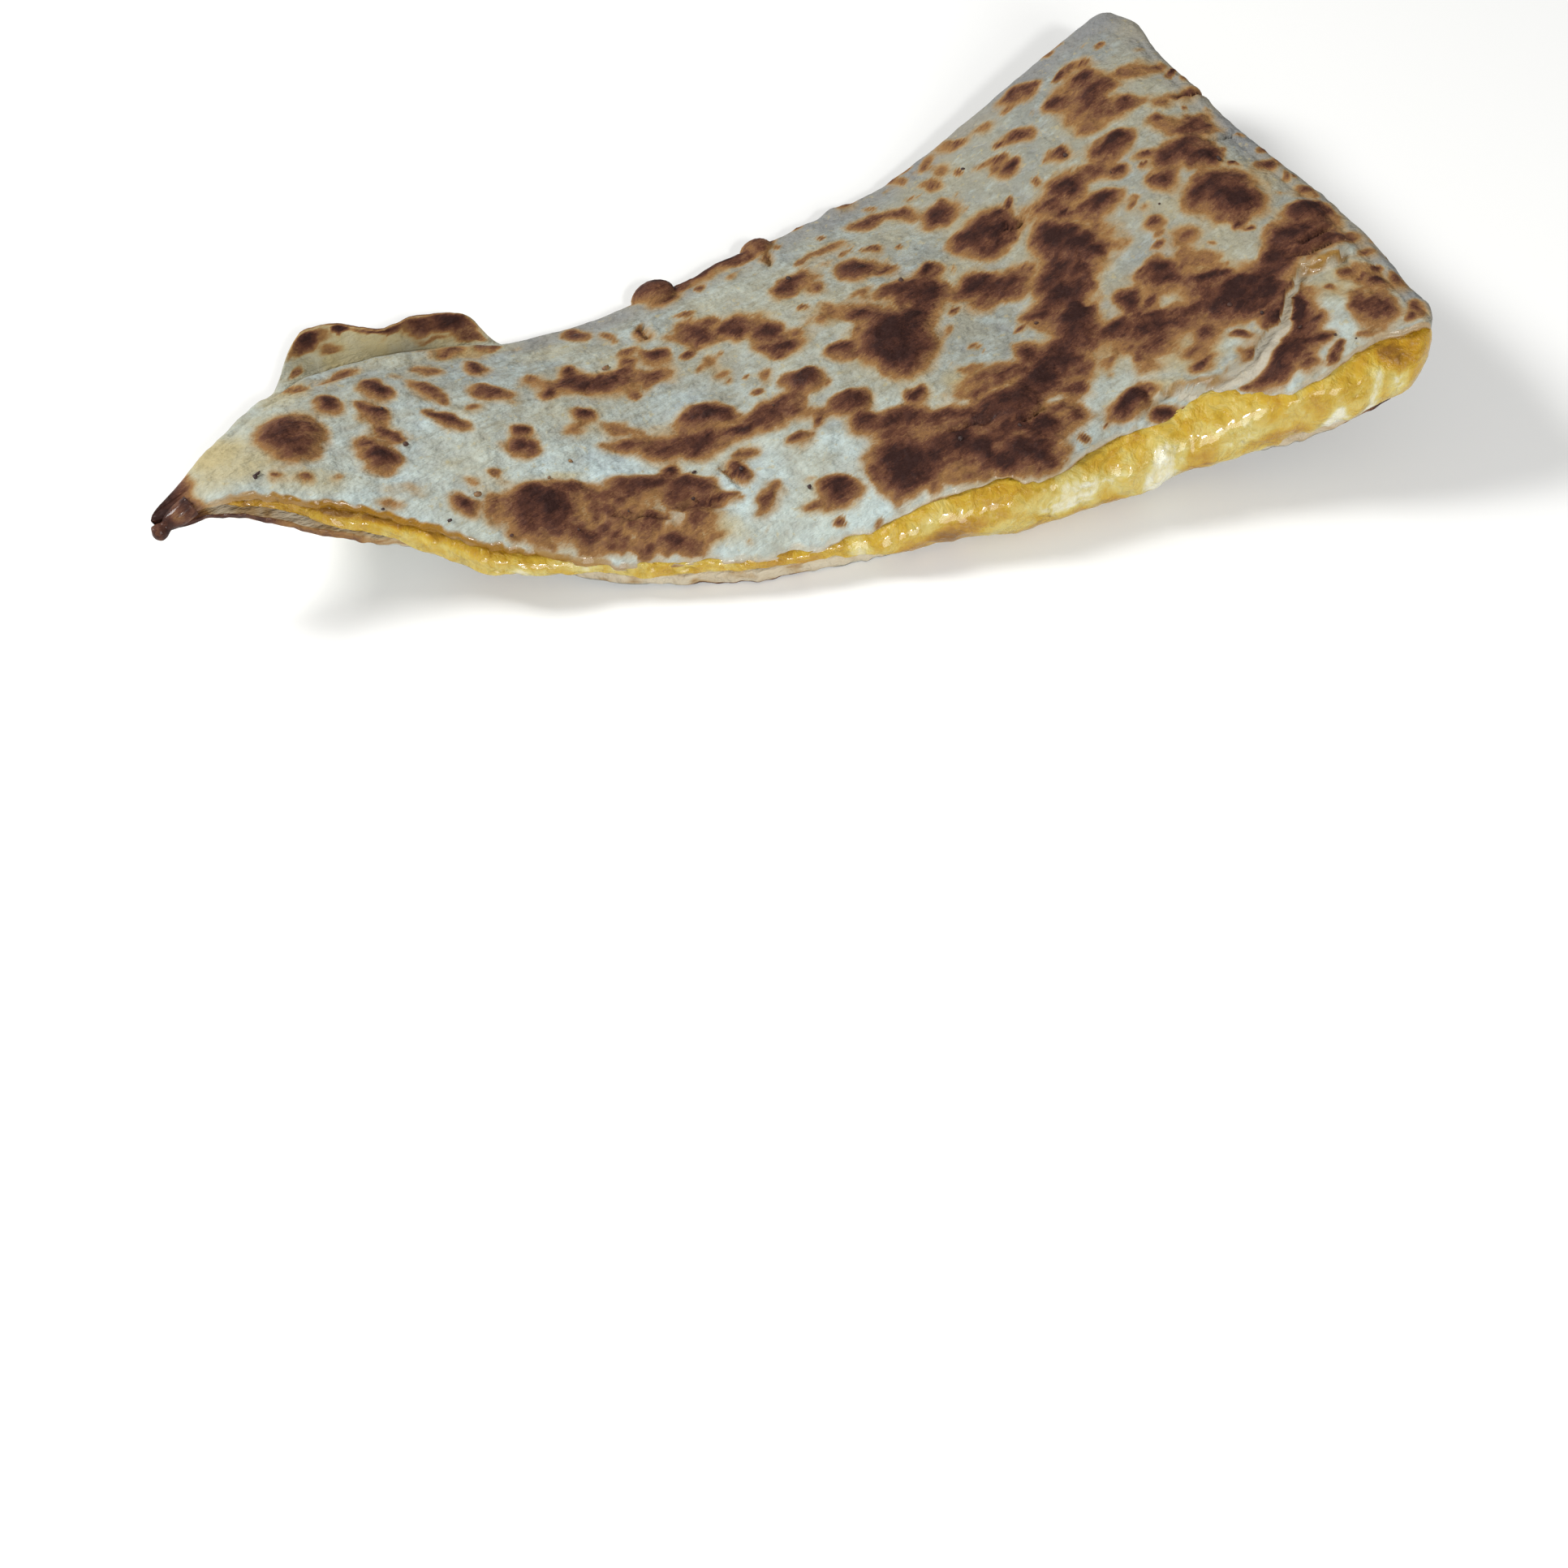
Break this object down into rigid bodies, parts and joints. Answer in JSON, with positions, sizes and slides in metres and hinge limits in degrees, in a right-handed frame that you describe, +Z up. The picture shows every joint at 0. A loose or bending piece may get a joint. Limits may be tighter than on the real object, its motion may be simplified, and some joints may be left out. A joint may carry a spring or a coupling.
{
  "type": "quesadilla wedge",
  "caption": "Wedge of griddled flour tortilla folded round melted cheese, cut open along its long side, lying flat with both ends of the cut lifted.",
  "frame": {"origin": "on the resting plane, under the middle of the wedge's bounding box", "axes": "+X along the cut side, from its thin left tip to its thick right corner; +Y from the cut side to the folded corner; +Z up"},
  "size_m": [0.1712, 0.089, 0.0216],
  "materials": {
    "tortilla": "dry flour tortilla, pale, with brown and charred griddle spots",
    "cheese": "melted cheese, yellow marbled with white, glossy"
  },
  "bodies": {
    "root": {"tortilla": "tortilla", "cheese": "cheese"}
  },
  "joints": []
}
